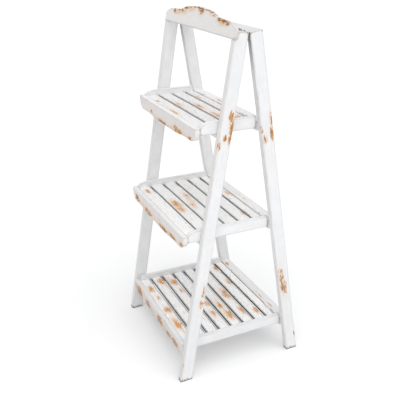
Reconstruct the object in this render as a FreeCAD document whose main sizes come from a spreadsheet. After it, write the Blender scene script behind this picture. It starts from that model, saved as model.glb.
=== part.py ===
"""A folding shelf: two leaning frames hinged together at the top, and three slatted trays.

Each tray is hinged at its back on a rung of the back frame and rests at its front on a
rung of the front frame. The trays swing up between the back legs, and the frames then close.

The origin is on the floor, midway between the feet. X runs across the shelf, Y from
front to back, Z up. Lengths are millimetres, angles are degrees.
"""
import FreeCAD, Part
import os

import Sketcher

DRIVING_SIZES = {
    # the two frames
    "stand_width": 450,
    "hinge_height": 995,
    "lean_angle": 9.35,
    "leg_thickness": 18,
    "leg_depth": 36,
    "edge_ease": 1.2,
    "top_rail_height": 22,
    # the crest board, lapped into the front legs
    "crest_thickness": 8,
    "crest_lap": 20,
    "crest_end_height": 24,
    "crest_corner_run": 34,
    "crest_corner_rise": 14,
    "crest_shoulder_rise": 3,
    "crest_step_rise": 13,
    "crest_crown_rise": 4,
    "crest_shoulder_inset": 104,
    "crest_step_run": 48,
    "crest_corner_radius": 10,
    # the rungs that carry the trays
    "front_rung_depth": 14,
    "front_rung_height": 11,
    "back_rung_depth": 31,
    "back_rung_height": 24,
    "back_rung_proud": 1,
    "rest_clearance": 0.3,
    # the hinges, all of one size
    "hinge_length": 38,
    "leaf_thickness": 1,
    "leaf_height": 12,
    "leaf_clearance": 0.4,
    "barrel_radius": 2.5,
    "barrel_clearance": 0.2,
    "pin_radius": 1.4,
    "bore_clearance": 0.15,
    "knuckle_clearance": 0.3,
    "top_hinge_inset": 45,
    "tray_hinge_inset": 90,
    # the trays: level of the slats' top, and reach from the hinge axis to the front
    "top_tray_level": 760,
    "middle_tray_level": 461,
    "bottom_tray_level": 113,
    "top_tray_reach": 177,
    "middle_tray_reach": 264,
    "bottom_tray_reach": 331,
    "tray_side_clearance": 1.5,
    "rail_thickness": 12,
    "rail_height": 33,
    "rail_lip": 15,
    "rail_nose_run": 24,
    "slat_thickness": 9,
    "slat_gap": 8,
    "last_slat_width": 27,
    "ledger_width": 12,
    # the front boards of the trays
    "fascia_thickness": 14,
    "fascia_proud": 2,
    "shaped_fascia_height": 40,
    "straight_fascia_height": 37,
    "fascia_corner_radius": 30,
    "fascia_rise": 2,
    "fascia_belly": 4,
    "fascia_rise_inset": 75,
    "fascia_wave_run": 55,
    # how many slats each tray has
    "top_slat_count": 4,
    "middle_slat_count": 6,
    "bottom_slat_count": 8,
}
CREST_CORNER_SHARE = 1.2
CREST_HOLLOW_SHARE = 0.5
CREST_SWELL_SHARE = 1.2
FASCIA_WAVE_SHARE = 0.36
KNEE_RUN_SHARE = 0.3
KNEE_RISE_SHARE = 0.65
KNEE_ROUND_SHARE = 0.58
NOSE_ROUND_SHARE = 1.6
TAB_ROOT_SHARE = 0.76
LONG_EDGE_SHARE = 0.6
MATCH_SHARE = 0.01
KNUCKLES = 3
TIERS = ("top", "middle", "bottom")
FRONT = -1
BACK = 1

doc = FreeCAD.newDocument("FoldingShelf")
sheet = doc.addObject("Spreadsheet::Sheet", "Sizes")
for row, (name, size) in enumerate(DRIVING_SIZES.items(), start=1):
    sheet.set(f"A{row}", name)
    sheet.set(f"B{row}", str(size))
    sheet.setAlias(f"B{row}", name)
doc.recompute()

# Sizes that follow from the driving ones, as expressions on the sheet.
LEAN = "Sizes.lean_angle"
LEAF_SEAT = "(Sizes.leaf_thickness + Sizes.leaf_clearance / 2)"
BARREL_SEAT = "(Sizes.barrel_radius + Sizes.barrel_clearance)"
HALF_STAND = "(Sizes.stand_width / 2)"
HALF_INSIDE = f"({HALF_STAND} - Sizes.leg_thickness)"
INSIDE = f"(2 * {HALF_INSIDE})"
HALF_TRAY = f"({HALF_INSIDE} - Sizes.tray_side_clearance)"
HALF_SLAT = f"({HALF_TRAY} - Sizes.rail_thickness)"
HALF_BATTEN = f"({HALF_SLAT} - Sizes.ledger_width)"
LEG_FACE = f"({LEAF_SEAT} + Sizes.leg_depth)"
CREST_SEAT = f"({LEG_FACE} - Sizes.crest_thickness)"
CREST_FOOT = f"({BARREL_SEAT} + Sizes.crest_lap)"
RAIL_DROP = "(Sizes.rail_height - Sizes.rail_lip)"
LEDGER_HEIGHT = f"({RAIL_DROP} - Sizes.slat_thickness)"

nodes = []


def value(expression):
    """The number that an expression on the sheet comes to."""
    return float(sheet.evalExpression(expression))


def on_frame(side, down, out):
    """A point of a leaning frame: down its legs from the hinge axis, and out from the hinge plane."""
    y = f"{side} * (({down}) * sin({LEAN}) + ({out}) * cos({LEAN}))"
    z = f"Sizes.hinge_height - ({down}) * cos({LEAN}) + ({out}) * sin({LEAN})"
    return y, z


def at_level(side, out, level):
    """How far from the hinge axis a line of a leaning frame, so far out, lies at a level."""
    return f"({side} * ((Sizes.hinge_height - ({level})) * tan({LEAN}) + ({out}) / cos({LEAN})))"


def place(thing, x="0", y="0", z="0", tilt="0"):
    """Puts a sub-part at a point, tilted about the X direction."""
    thing.Placement.Rotation.Axis = FreeCAD.Vector(1, 0, 0)
    for axis, where in zip("xyz", (x, y, z)):
        thing.setExpression(f"Placement.Base.{axis}", where)
    thing.setExpression("Placement.Rotation.Angle", tilt)


def keep(thing, label):
    """Lists a finished sub-part under the name of its node."""
    thing.Label = label
    nodes.append(thing)


def board(label, plane, corners, thickness, **where):
    """A board cut to an outline with straight sides and given its thickness."""
    body = doc.addObject("PartDesign::Body", f"Board_{label}")
    sketch = body.newObject("Sketcher::SketchObject", f"Outline_{label}")
    sketch.AttachmentSupport = [(next(p for p in body.Origin.OriginFeatures if p.Role == plane), "")]
    sketch.MapMode = "FlatFace"
    points = [FreeCAD.Vector(value(across), value(up), 0) for across, up in corners]
    for start, end in zip(points, points[1:] + points[:1]):
        sketch.addGeometry(Part.LineSegment(start, end))
    sides = range(len(corners))
    for side, before, corner in zip(sides, (sides[-1], *sides), corners):
        sketch.addConstraint(Sketcher.Constraint("Coincident", before, 2, side, 1))
        for direction, expression in zip(("DistanceX", "DistanceY"), corner):
            number = sketch.addConstraint(Sketcher.Constraint(direction, side, 1, value(expression)))
            sketch.setExpression(f"Constraints[{number}]", expression)
    pad = body.newObject("PartDesign::Pad", f"Pad_{label}")
    pad.Profile = sketch
    pad.setExpression("Length", thickness)
    place(body, **where)
    keep(body, label)
    doc.recompute()
    return body


def dress_edges(body, feature, size_name, size, chosen):
    """Works on the edges of a board that a test picks: rounds them, or takes off their sharpness."""
    base = body.Tip
    edges = [f"Edge{number}" for number, edge in enumerate(base.Shape.Edges, start=1) if chosen(edge)]
    dressing = body.newObject(f"PartDesign::{feature}", f"{feature}_{body.Label}")
    dressing.Base = (base, edges)
    dressing.setExpression(size_name, size)
    doc.recompute()


def round_corners(body, radius, plane_axes, corners):
    """Rounds a board's outline at given corners: the edges that cross its thickness there."""
    targets = [(value(across), value(up)) for across, up in corners]
    near = MATCH_SHARE * value("Sizes.edge_ease")

    def at_corner(edge):
        ends = [[getattr(vertex.Point, axis) for axis in plane_axes] for vertex in edge.Vertexes]
        return any(all(abs(across - x) + abs(up - z) < near for across, up in ends) for x, z in targets)
    dress_edges(body, "Fillet", "Radius", radius, at_corner)


def ease_long_edges(body):
    """Takes the sharpness off the edges that run the length of a board."""
    longest = max(edge.Length for edge in body.Tip.Shape.Edges)
    dress_edges(body, "Chamfer", "Size", "Sizes.edge_ease",
                lambda edge: edge.Length > LONG_EDGE_SHARE * longest)


def ease_front(body):
    """Takes the sharpness off the edges round the front face of an upright board."""
    front = min(body.Tip.Shape.Faces, key=lambda face: face.CenterOfMass.y)
    dress_edges(body, "Chamfer", "Size", "Sizes.edge_ease",
                lambda edge: any(edge.isSame(side) for side in front.Edges))


def bar(label, length, depth, height, **where):
    """A plain rectangular bar."""
    box = doc.addObject("Part::Box", f"Bar_{label}")
    for direction, size in zip(("Length", "Width", "Height"), (length, depth, height)):
        box.setExpression(direction, size)
    place(box, **where)
    return box


def rod(label, radius, length, x, y, z):
    """A round rod that lies across the shelf."""
    cylinder = doc.addObject("Part::Cylinder", f"Rod_{label}")
    cylinder.setExpression("Radius", radius)
    cylinder.setExpression("Height", length)
    place(cylinder, x, y, z, tilt="90")
    cylinder.Placement.Rotation.Axis = FreeCAD.Vector(0, 1, 0)
    return cylinder


def group(label, pieces):
    """Like pieces that share one node, each still a solid of its own."""
    compound = doc.addObject("Part::Compound", f"Group_{label}")
    compound.Links = pieces
    keep(compound, label)


def hinge_leaf(label, middle, at, tilt, side, own_knuckles):
    """One leaf of a butt hinge: a plate whose tabs are rolled into some of the barrel's knuckles."""
    start = f"({middle} - Sizes.hinge_length / 2)"
    pitch = f"((Sizes.hinge_length + Sizes.knuckle_clearance) / {KNUCKLES})"
    knuckle = f"({pitch} - Sizes.knuckle_clearance)"
    near_face = "Sizes.leaf_clearance / 2" if side == BACK else LEAF_SEAT
    y, z = at(f"{BARREL_SEAT} + Sizes.leaf_height", near_face)
    pieces = [bar(f"{label}_plate", "Sizes.hinge_length", "Sizes.leaf_thickness", "Sizes.leaf_height",
                  x=start, y=y, z=z, tilt=tilt)]
    tab_height = f"({BARREL_SEAT} - Sizes.barrel_radius * {TAB_ROOT_SHARE})"
    for number in own_knuckles:
        x = f"{start} + {number} * {pitch}"
        y, z = at(BARREL_SEAT, near_face)
        pieces.append(bar(f"{label}_tab_{number}", knuckle, "Sizes.leaf_thickness", tab_height,
                          x=x, y=y, z=z, tilt=tilt))
        pieces.append(rod(f"{label}_knuckle_{number}", "Sizes.barrel_radius", knuckle, x, *at("0", "0")))
    solid = doc.addObject("Part::MultiFuse", f"Solid_{label}")
    solid.Shapes = pieces
    leaf = doc.addObject("Part::Cut", f"Leaf_{label}")
    leaf.Base = solid
    leaf.Tool = rod(f"{label}_bore", "Sizes.pin_radius + Sizes.bore_clearance", "Sizes.hinge_length",
                    start, *at("0", "0"))
    return leaf


def hinge_pin(label, middle, at):
    """The pin on a hinge's axis, as long as the barrel."""
    start = f"{middle} - Sizes.hinge_length / 2"
    return rod(label, "Sizes.pin_radius", "Sizes.hinge_length", start, *at("0", "0"))


def hands(distance):
    """The left and right places at one distance from the middle of the shelf."""
    return (("left", f"(-{distance})"), ("right", distance))


def make_legs():
    """Four flat legs: square at the top, level at the floor, the front pair notched for the crest."""
    outlines = {
        "front": [on_frame(FRONT, BARREL_SEAT, LEAF_SEAT),
                  (at_level(FRONT, LEAF_SEAT, "0"), "0"),
                  (at_level(FRONT, LEG_FACE, "0"), "0"),
                  on_frame(FRONT, CREST_FOOT, LEG_FACE),
                  on_frame(FRONT, CREST_FOOT, CREST_SEAT),
                  on_frame(FRONT, BARREL_SEAT, CREST_SEAT)],
        "back": [on_frame(BACK, BARREL_SEAT, LEAF_SEAT),
                 (at_level(BACK, LEAF_SEAT, "0"), "0"),
                 (at_level(BACK, LEG_FACE, "0"), "0"),
                 on_frame(BACK, BARREL_SEAT, LEG_FACE)],
    }
    for frame, outline in outlines.items():
        for hand, x in (("left", f"-{HALF_STAND}"), ("right", HALF_INSIDE)):
            label = f"{frame}_leg_{hand}"
            ease_long_edges(board(label, "YZ_Plane", outline, "Sizes.leg_thickness", x=x))


def make_crest():
    """The crest: a thin board whose rounded ends step up in two soft curves to a crown."""
    shoulder_end = f"({HALF_STAND} - Sizes.crest_shoulder_inset)"
    crown_end = f"({shoulder_end} - Sizes.crest_step_run)"
    corner = "(Sizes.crest_end_height + Sizes.crest_corner_rise)"
    step_foot = f"({corner} + Sizes.crest_shoulder_rise)"
    step_head = f"({step_foot} + Sizes.crest_step_rise)"
    right = [(HALF_STAND, "0"), (HALF_STAND, "Sizes.crest_end_height"),
             (f"({HALF_STAND} - Sizes.crest_corner_run)", corner),
             (shoulder_end, step_foot), (crown_end, step_head)]
    left = [(f"-{x}", z) for x, z in right]
    crown = ("0", f"{step_head} + Sizes.crest_crown_rise")
    y, z = on_frame(FRONT, CREST_FOOT, CREST_SEAT)
    crest = board("crest_rail", "XZ_Plane", right + [crown] + left[::-1], "Sizes.crest_thickness",
                  y=y, z=z, tilt=f"-{LEAN}")
    step_curve = "Sizes.crest_step_run ^ 2 / Sizes.crest_step_rise"
    radii = ("Sizes.crest_corner_radius", f"{CREST_CORNER_SHARE} * Sizes.crest_corner_run",
             f"{CREST_HOLLOW_SHARE} * {step_curve}", f"{CREST_SWELL_SHARE} * {step_curve}")
    for radius, *corners in zip(radii, left[1:], right[1:]):
        round_corners(crest, radius, "xz", corners)
    ease_front(crest)


def make_top_rails():
    """The rails that tie the legs at the top and carry the hinges between the frames."""
    foot = f"{BARREL_SEAT} + Sizes.top_rail_height"
    y, z = on_frame(FRONT, foot, CREST_SEAT)
    keep(bar("front_top_rail", INSIDE, f"{CREST_SEAT} - {LEAF_SEAT}", "Sizes.top_rail_height",
             x=f"-{HALF_INSIDE}", y=y, z=z, tilt=f"-{LEAN}"), "front_top_rail")
    y, z = on_frame(BACK, foot, LEAF_SEAT)
    keep(bar("back_top_rail", INSIDE, "Sizes.leg_depth", "Sizes.top_rail_height",
             x=f"-{HALF_INSIDE}", y=y, z=z, tilt=LEAN), "back_top_rail")


def make_top_hinges():
    """Two butt hinges in the valley between the top rails, their leaves on the rails' facing sides."""
    sides = (("front", FRONT, f"-{LEAN}", (0, 2)), ("back", BACK, LEAN, (1,)))
    for hand, middle in hands(f"({HALF_STAND} - Sizes.top_hinge_inset)"):
        for frame, side, tilt, knuckles in sides:
            label = f"top_hinge_{frame}_leaf_{hand}"
            keep(hinge_leaf(label, middle, lambda down, out, side=side: on_frame(side, down, out),
                            tilt, side, knuckles), label)
        label = f"top_hinge_pin_{hand}"
        keep(hinge_pin(label, middle, lambda down, out: on_frame(BACK, down, out)), label)


def make_tray(tier):
    """A tray: a front board, two side rails with a raised lip, and slats on ledgers between them."""
    level = f"Sizes.{tier}_tray_level"
    axis = f"({at_level(BACK, LEAF_SEAT, level)} - Sizes.back_rung_proud - {LEAF_SEAT})"
    back = f"({axis} - {LEAF_SEAT})"
    front = f"({axis} - Sizes.{tier}_tray_reach)"
    inner = f"({front} + Sizes.fascia_thickness)"
    underside = f"({level} - {RAIL_DROP})"
    rim = f"({level} + Sizes.fascia_proud)"
    lip = f"({level} + Sizes.rail_lip)"
    shaped = tier != "bottom"

    height = "Sizes.shaped_fascia_height" if shaped else "Sizes.straight_fascia_height"
    right = [(HALF_TRAY, "0"), (HALF_TRAY, f"-{height}")]
    if shaped:
        rise = f"({HALF_TRAY} - Sizes.fascia_rise_inset)"
        right.append((rise, f"Sizes.fascia_rise - {height}"))
        right.append((f"({rise} - Sizes.fascia_wave_run)", f"-{height} - Sizes.fascia_belly"))
    left = [(f"-{x}", z) for x, z in right]
    fascia = board(f"{tier}_tray_fascia", "XZ_Plane", right + left[::-1], "Sizes.fascia_thickness",
                   y=inner, z=rim)
    if shaped:
        swing = "(Sizes.fascia_rise + Sizes.fascia_belly)"
        wave = f"{FASCIA_WAVE_SHARE} * Sizes.fascia_wave_run ^ 2 / {swing}"
        round_corners(fascia, "Sizes.fascia_corner_radius", "xz", (left[1], right[1]))
        round_corners(fascia, wave, "xz", left[2:] + right[2:])
    ease_front(fascia)

    nose = [(inner, lip)]
    if shaped:
        knee = (f"{inner} + Sizes.rail_nose_run * {KNEE_RUN_SHARE}",
                f"{level} + Sizes.rail_lip * {KNEE_RISE_SHARE}")
        nose = [(inner, rim), knee, (f"{inner} + Sizes.rail_nose_run", lip)]
    outline = [(back, lip), (back, underside), (inner, underside)] + nose
    for hand, x in (("left", f"-{HALF_TRAY}"), ("right", HALF_SLAT)):
        rail = board(f"{tier}_tray_rail_{hand}", "YZ_Plane", outline, "Sizes.rail_thickness", x=x)
        if shaped:
            round_corners(rail, f"Sizes.rail_nose_run * {KNEE_ROUND_SHARE}", "yz", nose[1:2])
            round_corners(rail, f"Sizes.rail_nose_run * {NOSE_ROUND_SHARE}", "yz", nose[2:])
        ease_long_edges(rail)

    numbers = range(round(value(f"Sizes.{tier}_slat_count")))
    pitch = f"(({back} - {inner} - Sizes.last_slat_width) / {numbers[-1]})"
    for number in numbers:
        near = f"({inner} + {number} * {pitch})"
        far = back if number == numbers[-1] else f"({near} + {pitch} - Sizes.slat_gap)"
        bottom = f"({level} - Sizes.slat_thickness)"
        ease_long_edges(board(f"{tier}_tray_slat_{number + 1}", "YZ_Plane",
                              [(near, bottom), (far, bottom), (far, level), (near, level)],
                              f"2 * {HALF_SLAT}", x=f"-{HALF_SLAT}"))
    ledgers = []
    for hand, x in (("left", f"-{HALF_SLAT}"), ("right", HALF_BATTEN)):
        ledgers.append(bar(f"{tier}_tray_ledger_{hand}", "Sizes.ledger_width", f"{back} - {inner}",
                           LEDGER_HEIGHT, x=x, y=inner, z=underside))
    group(f"{tier}_tray_ledgers", ledgers)
    label = f"{tier}_tray_back_batten"
    keep(bar(label, f"2 * {HALF_BATTEN}", "Sizes.ledger_width", LEDGER_HEIGHT,
             x=f"-{HALF_BATTEN}", y=f"{back} - Sizes.ledger_width", z=underside), label)

    make_rungs(tier, underside, inner, f"{axis} + {LEAF_SEAT}", level)
    return make_tray_hinges(tier, axis, f"({level} + {BARREL_SEAT})")


def make_rungs(tier, underside, inner, face, level):
    """The rungs of one tier: a flat one in the front frame, and one at slat level in the back frame.

    The front rung is flush with the legs' front, or just behind the front board where that hangs
    before it: there the board holds the frames from spreading.
    """
    top = f"({underside} - Sizes.rest_clearance)"
    y = f"max({at_level(FRONT, LEG_FACE, top)}; {inner} + Sizes.rest_clearance)"
    keep(bar(f"front_rung_{tier}", INSIDE, "Sizes.front_rung_depth", "Sizes.front_rung_height",
             x=f"-{HALF_INSIDE}", y=y, z=f"{top} - Sizes.front_rung_height"), f"front_rung_{tier}")
    keep(bar(f"back_rung_{tier}", INSIDE, "Sizes.back_rung_depth", "Sizes.back_rung_height",
             x=f"-{HALF_INSIDE}", y=face, z=f"{level} - Sizes.back_rung_height"), f"back_rung_{tier}")


def make_tray_hinges(tier, axis, height):
    """The two hinges of a tray, barrels on top, leaves between the last slat and the back rung."""
    fixed = []
    pins = []
    moving = []

    def at_back(down, out):
        return f"{axis} + ({out})", f"{height} - ({down})"

    def at_front(down, out):
        return f"{axis} - ({out})", f"{height} - ({down})"

    for hand, middle in hands(f"({HALF_STAND} - Sizes.tray_hinge_inset)"):
        fixed.append(hinge_leaf(f"{tier}_fixed_{hand}", middle, at_back, "0", BACK, (0, 2)))
        moving.append(hinge_leaf(f"{tier}_moving_{hand}", middle, at_front, "0", FRONT, (1,)))
        pins.append(hinge_pin(f"{tier}_pin_{hand}", middle, at_back))
    group(f"{tier}_tray_hinge_leaves", moving)
    return fixed, pins


make_legs()
make_crest()
make_top_rails()
make_top_hinges()
tray_hinges = [make_tray(tier) for tier in TIERS]
group("tray_hinge_fixed_leaves", [leaf for fixed, _ in tray_hinges for leaf in fixed])
group("tray_hinge_pins", [pin for _, pins in tray_hinges for pin in pins])
doc.recompute()

for thing in doc.Objects:
    if {"Invalid", "Error"} & set(thing.State):
        raise RuntimeError(f"{thing.Label} was not made: {thing.State}")
for node in nodes:
    if node.Shape.isNull() or not node.Shape.isValid():
        raise RuntimeError(f"{node.Label} has no sound shape")

os.makedirs("parts", exist_ok=True)
for node in nodes:
    node.Shape.exportStep(f"parts/{node.Label}.step")
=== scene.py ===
import math

import bpy
from mathutils import Euler, Matrix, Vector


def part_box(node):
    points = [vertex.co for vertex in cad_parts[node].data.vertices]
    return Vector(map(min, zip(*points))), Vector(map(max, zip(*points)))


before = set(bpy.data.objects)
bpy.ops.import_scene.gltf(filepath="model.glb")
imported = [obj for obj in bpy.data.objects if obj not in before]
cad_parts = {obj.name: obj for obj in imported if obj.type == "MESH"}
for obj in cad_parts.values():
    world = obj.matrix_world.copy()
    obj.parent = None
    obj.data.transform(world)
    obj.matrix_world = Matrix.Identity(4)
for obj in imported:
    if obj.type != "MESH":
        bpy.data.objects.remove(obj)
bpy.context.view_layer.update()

bpy.ops.object.select_all(action="DESELECT")

# The two front legs: straight pine laths, leaning back to the hinges at the top. They are
# brushed with one thin coat of white paint, then rubbed through to the brown wood along the
# edges, with ragged bare scuffs where hands and shoes have caught them.
FRONT_LEAN = Euler((math.radians(-9.35), 0.0, 0.0))
FRONT_LEG_SCUFFS = (
    ((0.225, -0.046, 0.786), (0.020, 0.012, 0.028), 0.95),
    ((0.225, -0.045, 0.757), (0.020, 0.010, 0.036), 0.95),
    ((0.225, -0.050, 0.728), (0.020, 0.008, 0.026), 0.85),
    ((0.225, -0.064, 0.734), (0.014, 0.009, 0.015), 0.75),
    ((0.225, -0.081, 0.716), (0.014, 0.009, 0.022), 0.72),
    ((0.225, -0.126, 0.284), (0.014, 0.010, 0.044), 0.58),
    ((0.225, -0.133, 0.255), (0.014, 0.013, 0.030), 0.60),
    ((0.225, -0.189, 0.097), (0.010, 0.005, 0.012), 0.68),
    ((0.225, -0.196, 0.040), (0.010, 0.007, 0.050), 0.54),
    ((-0.225, -0.110, 0.480), (0.014, 0.014, 0.050), 0.72),
    ((-0.225, -0.060, 0.800), (0.014, 0.010, 0.036), 0.72),
)

# The colours of the coat, of the wood under it, of the grime and wear on it, of other greys
# and darks, and of painted shade. Each spot of wear is given by its centre, its reach along the
# piece's own axes and its strength. Heights are pairs, from where a tone starts to where it is
# full, and so is FACE_ON, for faces that look one way.
PAINT_WHITE = (0.875, 0.878, 0.885)
BRUSH_SHADE = 0.92
DARK_WOOD = (0.20, 0.074, 0.026)
LIGHT_WOOD = (0.68, 0.34, 0.125)
THIN_COAT = (0.78, 0.67, 0.56)
DASH_BROWN = (0.42, 0.29, 0.20)
EDGE_GRIME = (0.33, 0.29, 0.25)
SCUFF_FRINGE = (0.84, 0.62, 0.42)
TAN_WASH = (0.76, 0.53, 0.35)
# A grey that grows towards the floor.
GREY_TO_FLOOR = (0.52, 0.52, 0.53)
# A dark band at the very foot.
FOOT_DARK = (0.13, 0.10, 0.075)
# Grey on faces that look up at the very top.
TOP_GREY = (0.64, 0.64, 0.66)
# Painted shade in the fold between the frames, on inner faces near the top.
FOLD_SHADE = (0.15, 0.15, 0.155)
EDGE_REACH = 0.008
FADE = 0.002
FACE_ON = (0.70, 0.92)
GREY_TO_FLOOR_HEIGHT = (0.50, 0.04)
FOOT_DARK_HEIGHT = (0.011, 0.001)
TOP_GREY_HEIGHT = (0.962, 0.978)
LOW_FOLD_SHADE_HEIGHT = (0.4, 0.8)
FOLD_SHADE_HEIGHT = (0.86, 0.985)


def worn_paint(
    name,
    turn,
    fibre,
    scuffs=(),
    blooms=(),
    white=PAINT_WHITE,
    rim_wear=0.12,
    rubbed=0.2,
    grime=0.6,
    deep=0.0,
    soft=0.0,
    front_shade_and_age=None,
    gap=None,
    ends=False,
    fold=0.0,
):
    """White paint over brown wood: rubbed edges, ragged scuffs, fine dashes and brush marks.

    turn is how the piece's own axes lean in the frame, and fibre the size of a wood fibre along
    each of them. scuffs are spots rubbed bare, and blooms spots washed tan. rim_wear is how far
    the edges are bare, rubbed how much of the coat is worn in dashes along the grain, grime how
    grey the edges are, deep how dark the bare wood has gone, and soft how gently a scuff fades
    into the coat. The front tone is for faces to the front: painted shade, with a little warm age
    in it. gap says where sawn sides were never painted and have gone dark, with painted shade in
    the gaps and along the slats' edges beside them. ends makes what stands near the floor darker
    towards the bottom, darkest at the very foot, and faces up at the top greyer. fold is the way,
    along Y, to the other frame: inner faces that look into the fold get painted shade, deepest
    near the top.
    """
    finish = bpy.data.materials.new(name)
    finish.use_nodes = True
    tree = finish.node_tree
    shader = tree.nodes["Principled BSDF"]
    surface = tree.nodes.new("ShaderNodeTexCoord")

    def node(kind, inputs, **settings):
        made = tree.nodes.new(kind)
        for key, setting in settings.items():
            setattr(made, key, setting)
        for key, given in inputs.items():
            if isinstance(given, bpy.types.NodeSocket):
                tree.links.new(given, made.inputs[key])
            else:
                made.inputs[key].default_value = given
        return made

    def work(operation, *terms):
        return node("ShaderNodeMath", dict(enumerate(terms)), operation=operation).outputs[0]

    def times(value, factor):
        return work("MULTIPLY", value, factor)

    def scaled(value, factor, added):
        return work("MULTIPLY_ADD", value, factor, added)

    def step(value, low, high):
        """0 at low, 1 at high and a smooth rise between, also where high is the lower number."""
        limits = {"Value": value, "From Min": low, "From Max": high}
        return node("ShaderNodeMapRange", limits, interpolation_type="SMOOTHSTEP").outputs[0]

    def laid(centre, sizes):
        """The place on the piece, from centre, along its own axes, in units of sizes."""
        there = {"Vector": surface.outputs["Object"], "Location": centre}
        there.update({"Rotation": turn, "Scale": sizes})
        return node("ShaderNodeMapping", there, vector_type="TEXTURE").outputs[0]

    def clouds(sizes, detail, roughness, start):
        """Noise of about these sizes along the piece's own axes."""
        cloud = {"Vector": laid(start, sizes), "Scale": 1.0, "Detail": detail, "Roughness": roughness}
        return node("ShaderNodeTexNoise", cloud).outputs["Fac"]

    def along_grain(least, share):
        """Sizes that are a share of a fibre's, but never under least."""
        return tuple(max(least, share * side) for side in fibre)

    def mixed(share, first, second):
        """The first colour, turning into the second as share goes from 0 to 1."""
        made = node("ShaderNodeMix", {0: share}, data_type="RGBA")
        for socket, colour in ((made.inputs[6], first), (made.inputs[7], second)):
            if isinstance(colour, bpy.types.NodeSocket):
                tree.links.new(colour, socket)
            else:
                socket.default_value = (*colour, 1.0)
        return made.outputs[2]

    def zones(spots):
        """The strength of the spots, highest at their centres, or None where there are none."""
        strongest = None
        for centre, sizes, strength in spots:
            away = node("ShaderNodeVectorMath", {0: laid(centre, sizes)}, operation="LENGTH")
            zone = scaled(away.outputs["Value"], -strength, strength)
            strongest = zone if strongest is None else work("MAXIMUM", strongest, zone)
        return strongest

    # The fibres and blotches of the board, and noise along the grain for tears, dashes and drags.
    facing = node("ShaderNodeSeparateXYZ", {0: surface.outputs["Normal"]}).outputs
    place = node("ShaderNodeSeparateXYZ", {0: surface.outputs["Object"]}).outputs
    fibres = clouds(fibre, 5.0, 0.62, (0.0, 0.0, 0.0))
    mottle = clouds((0.045, 0.045, 0.045), 4.0, 0.6, (0.11, 0.07, 0.23))
    ragged = clouds(along_grain(0.0036, 0.22), 6.0, 0.72, (0.31, 0.17, 0.05))
    dashes = clouds(along_grain(0.0032, 0.20), 3.0, 0.6, (0.53, 0.41, 0.29))
    drags = clouds(along_grain(0.008, 0.70), 4.0, 0.6, (0.19, 0.37, 0.61))
    uneven = scaled(ragged, 7.0, -3.5)
    patchy = scaled(mottle, 2.4, -1.2)

    # Bare wood, torn along the rims of the board and in the scuffs, with darker knots in these.
    inward = {"Distance": EDGE_REACH}
    corner = node("ShaderNodeAmbientOcclusion", inward, inside=True, only_local=True, samples=12)
    rim = work("MINIMUM", work("SUBTRACT", 1.0, corner.outputs["AO"]), 0.48)
    torn_rim = scaled(rim, 2.4, scaled(uneven, 0.35, times(patchy, 0.6)))
    bare = step(torn_rim, 1.45 - rim_wear, 1.75 - rim_wear)
    grain = scaled(uneven, -0.10, fibres)
    scuffed = zones(scuffs)
    if scuffed is not None:
        near = step(scuffed, 0.05, 0.40)
        torn = scaled(scuffed, 2.0, times(uneven, times(near, 0.85)))
        rub = step(torn, 0.58 - 0.28 * soft, 1.02 + 0.98 * soft)
        bare = work("MAXIMUM", bare, times(rub, 1.0 - 0.15 * soft))
        grain = scaled(step(scuffed, 0.50, 0.85), -0.36 * soft * soft, grain)
    wood = node("ShaderNodeValToRGB", {"Fac": grain})
    wood.color_ramp.elements[0].position = 0.24 + 0.18 * deep
    wood.color_ramp.elements[0].color = (*DARK_WOOD, 1.0)
    wood.color_ramp.elements[1].position = 0.56 + 0.18 * deep
    wood.color_ramp.elements[1].color = (*LIGHT_WOOD, 1.0)

    # The coat as it was brushed on, painted shade on faces to the front, and what age and use have done
    # to it.
    brushed = scaled(fibres, 0.6, times(mottle, 0.6))
    coat = mixed(step(brushed, 0.42, 0.74), tuple(BRUSH_SHADE * shade for shade in white), white)
    # Faces to the front take a darker tone: painted shade, with a little warm age in it.
    if front_shade_and_age:
        front_shaded = times(step(facing["Y"], -0.70, -0.95), scaled(patchy, 0.30, 0.75))
        coat = mixed(front_shaded, coat, front_shade_and_age)
    dragged = step(scaled(patchy, 0.06, drags), 0.46, 0.66)
    coat = mixed(times(dragged, 0.26 * rubbed), coat, THIN_COAT)
    lifted = scaled(rim, 0.16 * rubbed, scaled(patchy, 0.06, dashes))
    dashed = step(lifted, 0.66 - 0.08 * rubbed, 0.74 - 0.08 * rubbed)
    coat = mixed(times(dashed, 0.20 + 0.50 * rubbed), coat, DASH_BROWN)
    grimy = step(scaled(rim, 2.4, times(patchy, 0.5)), 0.50, 1.25)
    coat = mixed(times(grimy, grime), coat, EDGE_GRIME)
    if scuffed is not None:
        fringe = step(scaled(uneven, 0.08, scuffed), -0.22, 0.50)
        coat = mixed(times(fringe, 0.30 + 0.34 * soft), coat, SCUFF_FRINGE)
    bloomed = zones(blooms)
    if bloomed is not None:
        wash = step(scaled(uneven, 0.22, scaled(patchy, 0.25, bloomed)), 0.0, 0.75)
        coat = mixed(times(wash, 0.78), coat, TAN_WASH)
    colour = mixed(bare, coat, wood.outputs[0])
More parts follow.
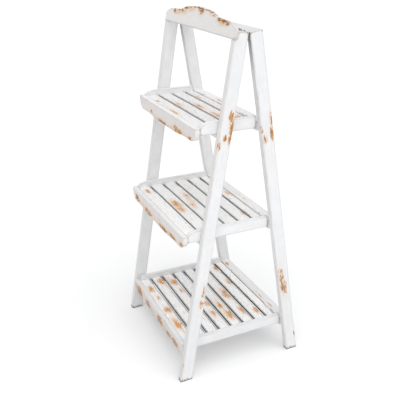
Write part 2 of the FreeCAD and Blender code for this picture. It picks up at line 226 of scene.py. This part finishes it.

    # What was never painted, with painted shade in the gaps; then greyer towards the floor, darkest at
    # the very foot, greyer on top, and painted shade in the fold between the frames.
    # The sawn sides in the gaps: unpainted and dark, with painted shade laid over them.
    if gap:
        behind_front = step(place["Y"], gap["front"], gap["front"] + FADE)
        between = times(behind_front, step(place["Y"], gap["back"], gap["back"] - FADE))
        clear_of_rails = step(work("ABSOLUTE", place["X"]), gap["side"], gap["side"] - FADE)
        sawn = step(work("ABSOLUTE", facing["Y"]), 0.78, 0.95)
        unpainted_and_shaded = times(sawn, scaled(patchy, 0.40, 1.0))
        # Painted shade along the slats' top edges beside the gaps.
        shaded_edges = times(times(step(rim, 0.25, 0.38), gap["edge"]), clear_of_rails)
        colour = mixed(times(work("MAXIMUM", unpainted_and_shaded, shaded_edges), between), colour, gap["tone"])
    if ends:
        # Greyer towards the floor.
        colour = mixed(times(step(place["Z"], *GREY_TO_FLOOR_HEIGHT), 0.20), colour, GREY_TO_FLOOR)
        # Darkest in a ragged band at the very foot.
        foot_dark = step(scaled(uneven, 0.004, place["Z"]), *FOOT_DARK_HEIGHT)
        colour = mixed(times(foot_dark, 0.8), colour, FOOT_DARK)
        # Faces that look up at the very top are greyer.
        on_top = times(step(facing["Z"], *FACE_ON), step(place["Z"], *TOP_GREY_HEIGHT))
        colour = mixed(times(on_top, scaled(patchy, 0.12, 0.80)), colour, TOP_GREY)
    # Painted shade on inner faces that look into the fold between the frames, deepest near the top.
    if fold:
        inner = step(times(facing["Y"], fold), *FACE_ON)
        low_fold_shade = times(step(place["Z"], *LOW_FOLD_SHADE_HEIGHT), 0.16)
        fold_shade = scaled(step(place["Z"], *FOLD_SHADE_HEIGHT), 0.50, low_fold_shade)
        colour = mixed(times(inner, fold_shade), colour, FOLD_SHADE)
    tree.links.new(colour, shader.inputs["Base Color"])

    # Bare wood is duller than the paint and lies lower, and the fibres stand out of both.
    dull = node("ShaderNodeMapRange", {"Value": bare, "To Min": 0.48, "To Max": 0.78}).outputs[0]
    tree.links.new(scaled(fibres, 0.12, dull), shader.inputs["Roughness"])
    height = scaled(bare, -0.55, times(fibres, 0.5))
    relief = node("ShaderNodeBump", {"Height": height, "Strength": 0.5, "Distance": 0.0006})
    tree.links.new(relief.outputs[0], shader.inputs["Normal"])
    return finish


def dress(finish, *names):
    """Puts a finish on CAD nodes, in place of the plain one that they come with."""
    for name in names:
        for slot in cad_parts[name].material_slots:
            slot.material = finish


LEG_FIBRE = (0.0026, 0.0026, 0.060)
dress(
    worn_paint(
        "front_leg_paint",
        FRONT_LEAN,
        LEG_FIBRE,
        FRONT_LEG_SCUFFS,
        rubbed=0.1,
        grime=0.5,
        deep=0.2,
        # Faces to the front: painted shade, with a little warm age.
        front_shade_and_age=(0.77, 0.755, 0.74),
        ends=True,
        # Painted shade on the inner faces in the fold between the frames.
        fold=1.0,
    ),
    "front_leg_left",
    "front_leg_right",
)

# The two back legs: the same lath, leaning the other way, and the same thin white coat. The
# scuffs lie on the outer faces and along the edges that stand against a wall.
BACK_LEAN = Euler((math.radians(9.35), 0.0, 0.0))
BACK_LEG_SCUFFS = (
    ((0.225, 0.075, 0.770), (0.020, 0.014, 0.032), 0.86),
    ((0.225, 0.079, 0.730), (0.020, 0.014, 0.036), 0.80),
    ((0.225, 0.045, 0.742), (0.012, 0.006, 0.018), 0.66),
    ((0.225, 0.056, 0.714), (0.014, 0.012, 0.020), 0.70),
    ((0.225, 0.130, 0.276), (0.014, 0.015, 0.050), 0.74),
    ((0.225, 0.141, 0.236), (0.014, 0.017, 0.046), 0.76),
    ((0.225, 0.191, 0.058), (0.010, 0.007, 0.026), 0.60),
    ((-0.225, 0.110, 0.520), (0.014, 0.012, 0.050), 0.75),
    ((-0.225, 0.060, 0.850), (0.014, 0.010, 0.036), 0.72),
    ((-0.225, 0.170, 0.130), (0.014, 0.012, 0.040), 0.70),
)
dress(
    worn_paint(
        "back_leg_paint",
        BACK_LEAN,
        LEG_FIBRE,
        BACK_LEG_SCUFFS,
        rubbed=0.1,
        grime=0.5,
        deep=0.2,
        ends=True,
        # Painted shade on the inner faces in the fold between the frames.
        fold=-1.0,
    ),
    "back_leg_left",
    "back_leg_right",
)

# The crest: a thin board sawn to a stepped wave along its top and let into the front faces of
# the legs. Its top edge is rubbed to the dark wood over most of its length.
CREST_SCUFFS = (
    ((-0.160, -0.035, 1.011), (0.013, 0.014, 0.012), 0.80),
    ((-0.126, -0.035, 1.017), (0.014, 0.014, 0.006), 0.72),
    ((-0.105, -0.034, 1.016), (0.022, 0.014, 0.006), 0.62),
    ((-0.082, -0.034, 1.026), (0.024, 0.014, 0.006), 0.72),
    ((-0.052, -0.033, 1.028), (0.020, 0.014, 0.006), 0.60),
    ((-0.024, -0.033, 1.033), (0.024, 0.014, 0.006), 0.60),
    ((0.002, -0.033, 1.031), (0.016, 0.014, 0.009), 0.85),
    ((0.020, -0.033, 1.028), (0.019, 0.014, 0.014), 1.10),
    ((0.060, -0.032, 1.032), (0.024, 0.014, 0.004), 0.74),
    ((0.080, -0.032, 1.029), (0.018, 0.014, 0.004), 0.84),
    ((0.100, -0.033, 1.023), (0.018, 0.014, 0.005), 0.80),
    ((0.130, -0.034, 1.016), (0.020, 0.014, 0.008), 1.05),
    ((0.152, -0.034, 1.014), (0.022, 0.014, 0.010), 1.10),
    ((0.176, -0.035, 1.012), (0.020, 0.014, 0.009), 1.00),
)
CREST_BLOOMS = (
    ((-0.138, -0.035, 1.014), (0.046, 0.020, 0.018), 1.10),
    ((-0.098, -0.034, 1.019), (0.050, 0.020, 0.018), 1.05),
    ((-0.050, -0.033, 1.028), (0.050, 0.020, 0.016), 0.90),
    ((0.016, -0.033, 1.028), (0.036, 0.020, 0.020), 0.82),
    ((0.090, -0.033, 1.026), (0.042, 0.020, 0.011), 0.62),
    ((0.150, -0.034, 1.012), (0.052, 0.020, 0.016), 0.95),
)
ACROSS_FIBRE = (0.060, 0.0026, 0.0026)
dress(
    worn_paint(
        "crest_paint",
        FRONT_LEAN,
        ACROSS_FIBRE,
        CREST_SCUFFS,
        CREST_BLOOMS,
        rim_wear=0.05,
        rubbed=0.3,
        grime=0.55,
        deep=0.9,
        # Faces to the front: painted shade, with a little warm age.
        front_shade_and_age=(0.82, 0.80, 0.785),
    ),
    "crest_rail",
)

# The rails under the crest that carry the hinges, and the rungs between the legs: plain sawn
# bars, butted between the legs and painted with the rest. Little touches them, so the coat is
# whole but for the edges.
dress(
    worn_paint("front_bar_paint", FRONT_LEAN, ACROSS_FIBRE, rubbed=0.1, grime=0.4, ends=True),
    "front_top_rail",
    "front_rung_top",
    "front_rung_middle",
    "front_rung_bottom",
)
BACK_BAR_SCUFFS = (
    ((-0.030, 0.055, 0.760), (0.060, 0.010, 0.010), 0.60),
    ((0.060, 0.155, 0.113), (0.070, 0.007, 0.010), 0.46),
    ((0.125, 0.157, 0.113), (0.030, 0.007, 0.010), 0.60),
    ((-0.171, 0.155, 0.113), (0.024, 0.010, 0.010), 0.85),
    ((0.020, 0.105, 0.461), (0.050, 0.008, 0.010), 0.46),
)
dress(
    worn_paint(
        "back_bar_paint",
        BACK_LEAN,
        ACROSS_FIBRE,
        BACK_BAR_SCUFFS,
        rubbed=0.6,
        grime=0.3,
        ends=True,
    ),
    "back_top_rail",
    "back_rung_top",
    "back_rung_middle",
    "back_rung_bottom",
)

# The side rails of the three trays: low boards on edge with rounded noses, nailed to the ends
# of the front boards. Their upper edges are handled most and show the wood in short dashes.
TIERS = {"top": 4, "middle": 6, "bottom": 8}
LEVEL = Euler((0.0, 0.0, 0.0))
DEEP_FIBRE = (0.0026, 0.060, 0.0026)
side_rail_paint = worn_paint("side_rail_paint", LEVEL, DEEP_FIBRE, rim_wear=0.14, rubbed=0.15, ends=True)
for tier in TIERS:
    dress(side_rail_paint, f"{tier}_tray_rail_left", f"{tier}_tray_rail_right")

# The ledgers and battens that carry the slats: square strips nailed inside the side rails and
# along the back, out of sight from the front and only lightly worn.
ledger_paint = worn_paint("ledger_paint", LEVEL, DEEP_FIBRE, rim_wear=0.10, rubbed=0.2)
batten_paint = worn_paint("batten_paint", LEVEL, ACROSS_FIBRE, rim_wear=0.10, rubbed=0.2)
for tier in TIERS:
    dress(ledger_paint, f"{tier}_tray_ledgers")
    dress(batten_paint, f"{tier}_tray_back_batten")

# The front boards of the trays: sawn to a shallow wave below, and set between the side rails.
# Their lower edges are worn bare along most of the length.
FASCIA_SCUFFS = (
    ((-0.106, -0.140, 0.734), (0.010, 0.012, 0.008), 0.95),
    ((-0.020, -0.140, 0.722), (0.070, 0.014, 0.010), 0.72),
    ((0.080, -0.140, 0.731), (0.022, 0.014, 0.014), 0.85),
    ((0.106, -0.140, 0.727), (0.022, 0.014, 0.015), 0.95),
    ((0.172, -0.140, 0.730), (0.018, 0.014, 0.010), 0.72),
    ((-0.165, -0.178, 0.438), (0.034, 0.014, 0.016), 0.75),
    ((-0.068, -0.178, 0.429), (0.050, 0.014, 0.014), 0.82),
    ((0.058, -0.178, 0.427), (0.046, 0.014, 0.012), 0.95),
    ((0.126, -0.178, 0.431), (0.040, 0.014, 0.010), 0.80),
    ((0.190, -0.178, 0.434), (0.022, 0.014, 0.014), 0.85),
    ((-0.162, -0.188, 0.091), (0.036, 0.016, 0.028), 1.15),
    ((-0.082, -0.188, 0.088), (0.034, 0.016, 0.020), 0.95),
    ((0.026, -0.188, 0.089), (0.036, 0.016, 0.026), 1.05),
    ((0.100, -0.188, 0.085), (0.036, 0.014, 0.014), 0.80),
    ((0.152, -0.188, 0.087), (0.036, 0.016, 0.020), 0.95),
    ((-0.203, -0.188, 0.094), (0.014, 0.014, 0.020), 0.85),
)
FASCIA_BLOOMS = (
    ((-0.090, -0.140, 0.722), (0.140, 0.016, 0.016), 0.70),
    ((0.090, -0.140, 0.722), (0.140, 0.016, 0.016), 0.80),
    ((-0.100, -0.178, 0.429), (0.160, 0.016, 0.018), 0.75),
    ((0.100, -0.178, 0.429), (0.160, 0.016, 0.018), 0.80),
    ((-0.155, -0.188, 0.094), (0.060, 0.018, 0.028), 1.00),
    ((-0.080, -0.188, 0.085), (0.130, 0.016, 0.018), 0.85),
    ((0.100, -0.188, 0.085), (0.160, 0.016, 0.018), 0.80),
)
fascia_paint = worn_paint(
    "fascia_paint",
    LEVEL,
    ACROSS_FIBRE,
    FASCIA_SCUFFS,
    FASCIA_BLOOMS,
    rim_wear=0.05,
    rubbed=0.6,
    grime=0.3,
    deep=0.5,
    # Faces to the front: painted shade, with a warm aged tint.
    front_shade_and_age=(0.74, 0.70, 0.67),
    ends=True,
)
for tier in TIERS:
    dress(fascia_paint, f"{tier}_tray_fascia")

# The slats: thin sawn boards laid across each tray with a finger's gap between them. The coat
# is thin and dragged along the grain, and things set down on it have rubbed it through. The
# sawn sides in the gaps were never painted and have gone dark, and painted shade darkens them
# further in each lower tray.
SLAT_SCUFFS = {
    "top": (
        ((-0.115, -0.116, 0.760), (0.024, 0.010, 0.010), 0.85),
        ((-0.060, -0.072, 0.760), (0.040, 0.009, 0.010), 0.66),
        ((0.020, -0.120, 0.760), (0.060, 0.010, 0.010), 0.72),
        ((-0.107, 0.015, 0.760), (0.026, 0.008, 0.010), 0.80),
        ((-0.008, -0.028, 0.760), (0.036, 0.012, 0.010), 0.85),
        ((0.099, -0.026, 0.760), (0.055, 0.012, 0.010), 0.72),
        ((0.157, 0.016, 0.760), (0.042, 0.018, 0.010), 0.95),
    ),
    "middle": (
        ((-0.150, -0.146, 0.461), (0.030, 0.010, 0.010), 1.05),
        ((-0.022, -0.102, 0.461), (0.046, 0.019, 0.010), 0.80),
        ((0.022, -0.104, 0.461), (0.040, 0.016, 0.010), 0.70),
        ((-0.068, -0.048, 0.461), (0.030, 0.012, 0.010), 0.70),
        ((0.008, -0.060, 0.461), (0.034, 0.012, 0.010), 0.70),
        ((0.127, 0.052, 0.461), (0.026, 0.012, 0.010), 1.10),
        ((-0.029, 0.077, 0.461), (0.028, 0.010, 0.010), 0.75),
    ),
    "bottom": (
        ((-0.126, -0.157, 0.113), (0.037, 0.016, 0.010), 0.82),
        ((-0.064, -0.156, 0.113), (0.025, 0.011, 0.010), 0.70),
        ((0.013, -0.154, 0.113), (0.033, 0.018, 0.010), 0.88),
        ((0.100, -0.156, 0.113), (0.043, 0.019, 0.010), 0.95),
        ((-0.158, -0.110, 0.113), (0.037, 0.018, 0.010), 0.80),
        ((-0.135, -0.071, 0.113), (0.033, 0.018, 0.010), 0.95),
        ((-0.075, -0.068, 0.113), (0.022, 0.011, 0.010), 0.70),
        ((0.094, -0.030, 0.113), (0.033, 0.016, 0.010), 0.85),
        ((0.034, -0.026, 0.113), (0.025, 0.015, 0.010), 0.75),
        ((0.061, 0.008, 0.113), (0.030, 0.015, 0.010), 0.85),
        ((0.122, 0.012, 0.113), (0.043, 0.018, 0.010), 0.92),
        ((0.004, 0.056, 0.113), (0.057, 0.018, 0.010), 0.88),
        ((0.114, 0.060, 0.113), (0.043, 0.015, 0.010), 0.75),
        ((-0.154, 0.104, 0.113), (0.033, 0.015, 0.010), 0.85),
        ((-0.056, 0.099, 0.113), (0.033, 0.013, 0.010), 0.72),
        ((0.136, 0.100, 0.113), (0.030, 0.013, 0.010), 0.80),
    ),
}
SLAT_BLOOMS = {
    "top": (
        ((0.010, -0.119, 0.760), (0.100, 0.018, 0.010), 0.55),
        ((-0.040, -0.072, 0.760), (0.090, 0.015, 0.010), 0.42),
        ((-0.008, -0.028, 0.760), (0.070, 0.018, 0.010), 0.65),
        ((0.110, -0.020, 0.760), (0.080, 0.018, 0.010), 0.58),
    ),
    "middle": (
        ((-0.004, -0.104, 0.461), (0.070, 0.020, 0.010), 0.90),
        ((-0.030, -0.052, 0.461), (0.080, 0.018, 0.010), 0.50),
        ((-0.010, 0.083, 0.461), (0.050, 0.012, 0.010), 0.50),
    ),
    "bottom": (
        ((0.090, -0.154, 0.113), (0.080, 0.018, 0.010), 0.60),
        ((-0.145, -0.090, 0.113), (0.050, 0.030, 0.010), 0.60),
        ((0.060, 0.010, 0.113), (0.080, 0.018, 0.010), 0.55),
    ),
}
SLAT_RUBS = {"top": 1.0, "middle": 0.75, "bottom": 0.85}
SLAT_SOFTNESS = {"top": 0.5, "middle": 0.65, "bottom": 0.35}
# Painted light: the slats of the middle and bottom trays get a whiter coat, to make up for the shade of
# the trays above.
SLAT_LIT_WHITES = {
    "top": PAINT_WHITE,
    "middle": (0.96, 0.96, 0.96),
    "bottom": (0.955, 0.955, 0.96),
}
# Grey on the slats' edges: real grime, raised in the bottom tray as painted shade that darkens the gap
# lines.
SLAT_GRIME_AND_SHADE = {"top": 0.20, "middle": 0.25, "bottom": 0.50}
# The dark of the sawn sides in the gaps: partly their own unpainted dark, partly painted shade, darker
# in each lower tray.
GAP_SAWN_DARK_AND_SHADE = {
    "top": (0.42, 0.41, 0.405),
    "middle": (0.25, 0.24, 0.235),
    "bottom": (0.018, 0.014, 0.012),
}
# Painted shade along the slats' top edges beside the gaps, strongest in the bottom tray.
GAP_EDGE_SHADE = {"top": 0.0, "middle": 0.15, "bottom": 0.85}
PAINTED_FRONT = 0.006
PAINTED_BACK = 0.003
PAINTED_END = 0.005
for tier, count in TIERS.items():
    (left_end, first_front, _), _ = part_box(f"{tier}_tray_slat_1")
    _, (_, last_back, _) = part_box(f"{tier}_tray_slat_{count}")
    gap = {
        "tone": GAP_SAWN_DARK_AND_SHADE[tier],
        "edge": GAP_EDGE_SHADE[tier],
        "front": first_front + PAINTED_FRONT,
        "back": last_back - PAINTED_BACK,
        "side": -left_end - PAINTED_END,
    }
    slat_paint = worn_paint(
        f"{tier}_slat_paint",
        LEVEL,
        ACROSS_FIBRE,
        SLAT_SCUFFS[tier],
        SLAT_BLOOMS[tier],
        white=SLAT_LIT_WHITES[tier],
        rim_wear=0.0,
        rubbed=SLAT_RUBS[tier],
        grime=SLAT_GRIME_AND_SHADE[tier],
        deep=-0.4,
        soft=SLAT_SOFTNESS[tier],
        gap=gap,
    )
    dress(slat_paint, *[f"{tier}_tray_slat_{number}" for number in range(1, count + 1)])

# The butt hinges at the top and behind each tray: pressed steel leaves rolled round a plain
# pin and screwed on. The leaves were brushed over with the wood; the paint has cracked on the
# two at the top, which move most, and the pins are bare, dulled to grey with brown rust.
def flecked(name, fineness, fleck, sound, dull, depth, metal=0.0):
    """A hard finish that breaks up in flecks: cracked paint on steel, or rust on a bare pin.

    fleck and sound each give a share of the noise and the colour there, and dull how rough the
    flecks and the sound finish are.
    """
    finish = bpy.data.materials.new(name)
    finish.use_nodes = True
    tree = finish.node_tree
    shader = tree.nodes["Principled BSDF"]
    shader.inputs["Metallic"].default_value = metal
    flecks = tree.nodes.new("ShaderNodeTexNoise")
    flecks.inputs["Scale"].default_value = fineness
    flecks.inputs["Detail"].default_value = 6.0
    tree.links.new(tree.nodes.new("ShaderNodeTexCoord").outputs["Object"], flecks.inputs["Vector"])
    tone = tree.nodes.new("ShaderNodeValToRGB")
    for number, (share, colour) in enumerate((fleck, sound)):
        tone.color_ramp.elements[number].position = share
        tone.color_ramp.elements[number].color = (*colour, 1.0)
    tree.links.new(flecks.outputs["Fac"], tone.inputs["Fac"])
    tree.links.new(tone.outputs[0], shader.inputs["Base Color"])
    matt = tree.nodes.new("ShaderNodeMapRange")
    matt.inputs["To Min"].default_value = dull[0]
    matt.inputs["To Max"].default_value = dull[1]
    tree.links.new(flecks.outputs["Fac"], matt.inputs["Value"])
    tree.links.new(matt.outputs[0], shader.inputs["Roughness"])
    relief = tree.nodes.new("ShaderNodeBump")
    relief.inputs["Strength"].default_value = 0.4
    relief.inputs["Distance"].default_value = depth
    tree.links.new(flecks.outputs["Fac"], relief.inputs["Height"])
    tree.links.new(relief.outputs[0], shader.inputs["Normal"])
    return finish


RUSTY_BROWN = (0.30, 0.22, 0.16)
PIN_RUST = (0.22, 0.12, 0.07)
PIN_GREY = (0.52, 0.51, 0.49)
cracked_paint = flecked(
    "cracked_hinge_paint",
    fineness=240.0,
    fleck=(0.40, RUSTY_BROWN),
    sound=(0.48, (0.78, 0.78, 0.78)),
    dull=(0.70, 0.42),
    depth=0.0004,
)
sound_paint = flecked(
    "sound_hinge_paint",
    fineness=240.0,
    fleck=(0.30, RUSTY_BROWN),
    sound=(0.38, (0.84, 0.84, 0.845)),
    dull=(0.70, 0.42),
    depth=0.0003,
)
pin_steel = flecked(
    "pin_steel",
    fineness=300.0,
    fleck=(0.36, PIN_RUST),
    sound=(0.54, PIN_GREY),
    dull=(0.62, 0.34),
    depth=0.0003,
    metal=0.85,
)
for side in ("left", "right"):
    dress(cracked_paint, f"top_hinge_front_leaf_{side}", f"top_hinge_back_leaf_{side}")
for tier in TIERS:
    dress(sound_paint, f"{tier}_tray_hinge_leaves")
dress(sound_paint, "tray_hinge_fixed_leaves")
dress(pin_steel, "top_hinge_pin_left", "top_hinge_pin_right", "tray_hinge_pins")

# The floor: one plain white sheet, wide enough to run out of every view, that takes the
# shelf's soft shadow. It is lifted a little where it is seen, so that it runs out to white.
FLOOR_SIZE = 30.0
FLOOR_TONE = (0.87, 0.87, 0.87, 1.0)
FLOOR_LIFT = (0.075, 0.075, 0.075, 1.0)
bpy.ops.mesh.primitive_plane_add(size=FLOOR_SIZE, location=(0.0, 0.0, 0.0))
floor = bpy.context.active_object
floor.name = "floor"
floor_white = bpy.data.materials.new("floor_white")
floor_white.use_nodes = True
ground = floor_white.node_tree
ground.nodes.remove(ground.nodes["Principled BSDF"])
matt = ground.nodes.new("ShaderNodeBsdfDiffuse")
matt.inputs["Color"].default_value = FLOOR_TONE


def seen_outright(tree):
    """1 for a ray that shows a surface to the camera, also in a mirror or through glass."""
    path = tree.nodes.new("ShaderNodeLightPath")
    seen = path.outputs["Is Camera Ray"]
    for kind in ("Is Glossy Ray", "Is Transmission Ray"):
        either = tree.nodes.new("ShaderNodeMath")
        either.operation = "MAXIMUM"
        tree.links.new(seen, either.inputs[0])
        tree.links.new(path.outputs[kind], either.inputs[1])
        seen = either.outputs[0]
    return seen


lift = ground.nodes.new("ShaderNodeEmission")
ground.links.new(seen_outright(ground), lift.inputs["Strength"])
lift.inputs["Color"].default_value = FLOOR_LIFT
both = ground.nodes.new("ShaderNodeAddShader")
ground.links.new(matt.outputs[0], both.inputs[0])
ground.links.new(lift.outputs[0], both.inputs[1])
ground.links.new(both.outputs[0], ground.nodes["Material Output"].inputs["Surface"])
floor.data.materials.append(floor_white)

# Studio light: an even white surround, which is also the white background, and one broad soft
# lamp, slightly cool, high on the right of the front.
SURROUND_LIGHT = 0.58
SURROUND_SEEN = 1.0
LAMP_PLACE = (1.3, -0.2, 2.5)
LAMP_SPREAD = math.radians(80.0)
LAMP_STRENGTH = 2.0
LAMP_TONE = (0.975, 0.985, 1.0)
world = bpy.data.worlds.new("white_surround")
bpy.context.scene.world = world
world.use_nodes = True
sky = world.node_tree
surround = sky.nodes["Background"]
surround.inputs["Color"].default_value = (1.0, 1.0, 1.0, 1.0)
level = sky.nodes.new("ShaderNodeMapRange")
level.inputs["To Min"].default_value = SURROUND_LIGHT
level.inputs["To Max"].default_value = SURROUND_SEEN
sky.links.new(seen_outright(sky), level.inputs["Value"])
sky.links.new(level.outputs[0], surround.inputs["Strength"])

bpy.ops.object.light_add(type="SUN", location=LAMP_PLACE)
key_lamp = bpy.context.active_object
key_lamp.name = "key_lamp"
key_lamp.data.angle = LAMP_SPREAD
key_lamp.data.energy = LAMP_STRENGTH
key_lamp.data.color = LAMP_TONE
key_lamp.rotation_euler = (-key_lamp.location).to_track_quat("-Z", "Y").to_euler()

# The camera stands to the right of the front, a little above the shelf, and looks down on it.
# It was fitted to the feet, the leg tops, the crest and the corners of the trays.
CAMERA_PLACE = (1.5374, -0.7412, 1.2002)
CAMERA_SWING = math.radians(65.22)
CAMERA_TILT = math.radians(66.62)
CAMERA_ROLL = math.radians(-0.34)
bpy.ops.object.camera_add()
camera = bpy.context.active_object
camera.name = "camera"
camera.data.sensor_width = 36.0
camera.data.lens = 54.16
aim = Matrix.Rotation(CAMERA_SWING, 4, "Z") @ Matrix.Rotation(CAMERA_TILT, 4, "X")
aim = aim @ Matrix.Rotation(CAMERA_ROLL, 4, "Z")
camera.matrix_world = Matrix.Translation(CAMERA_PLACE) @ aim
bpy.context.scene.camera = camera
bpy.context.scene.view_settings.view_transform = "Standard"
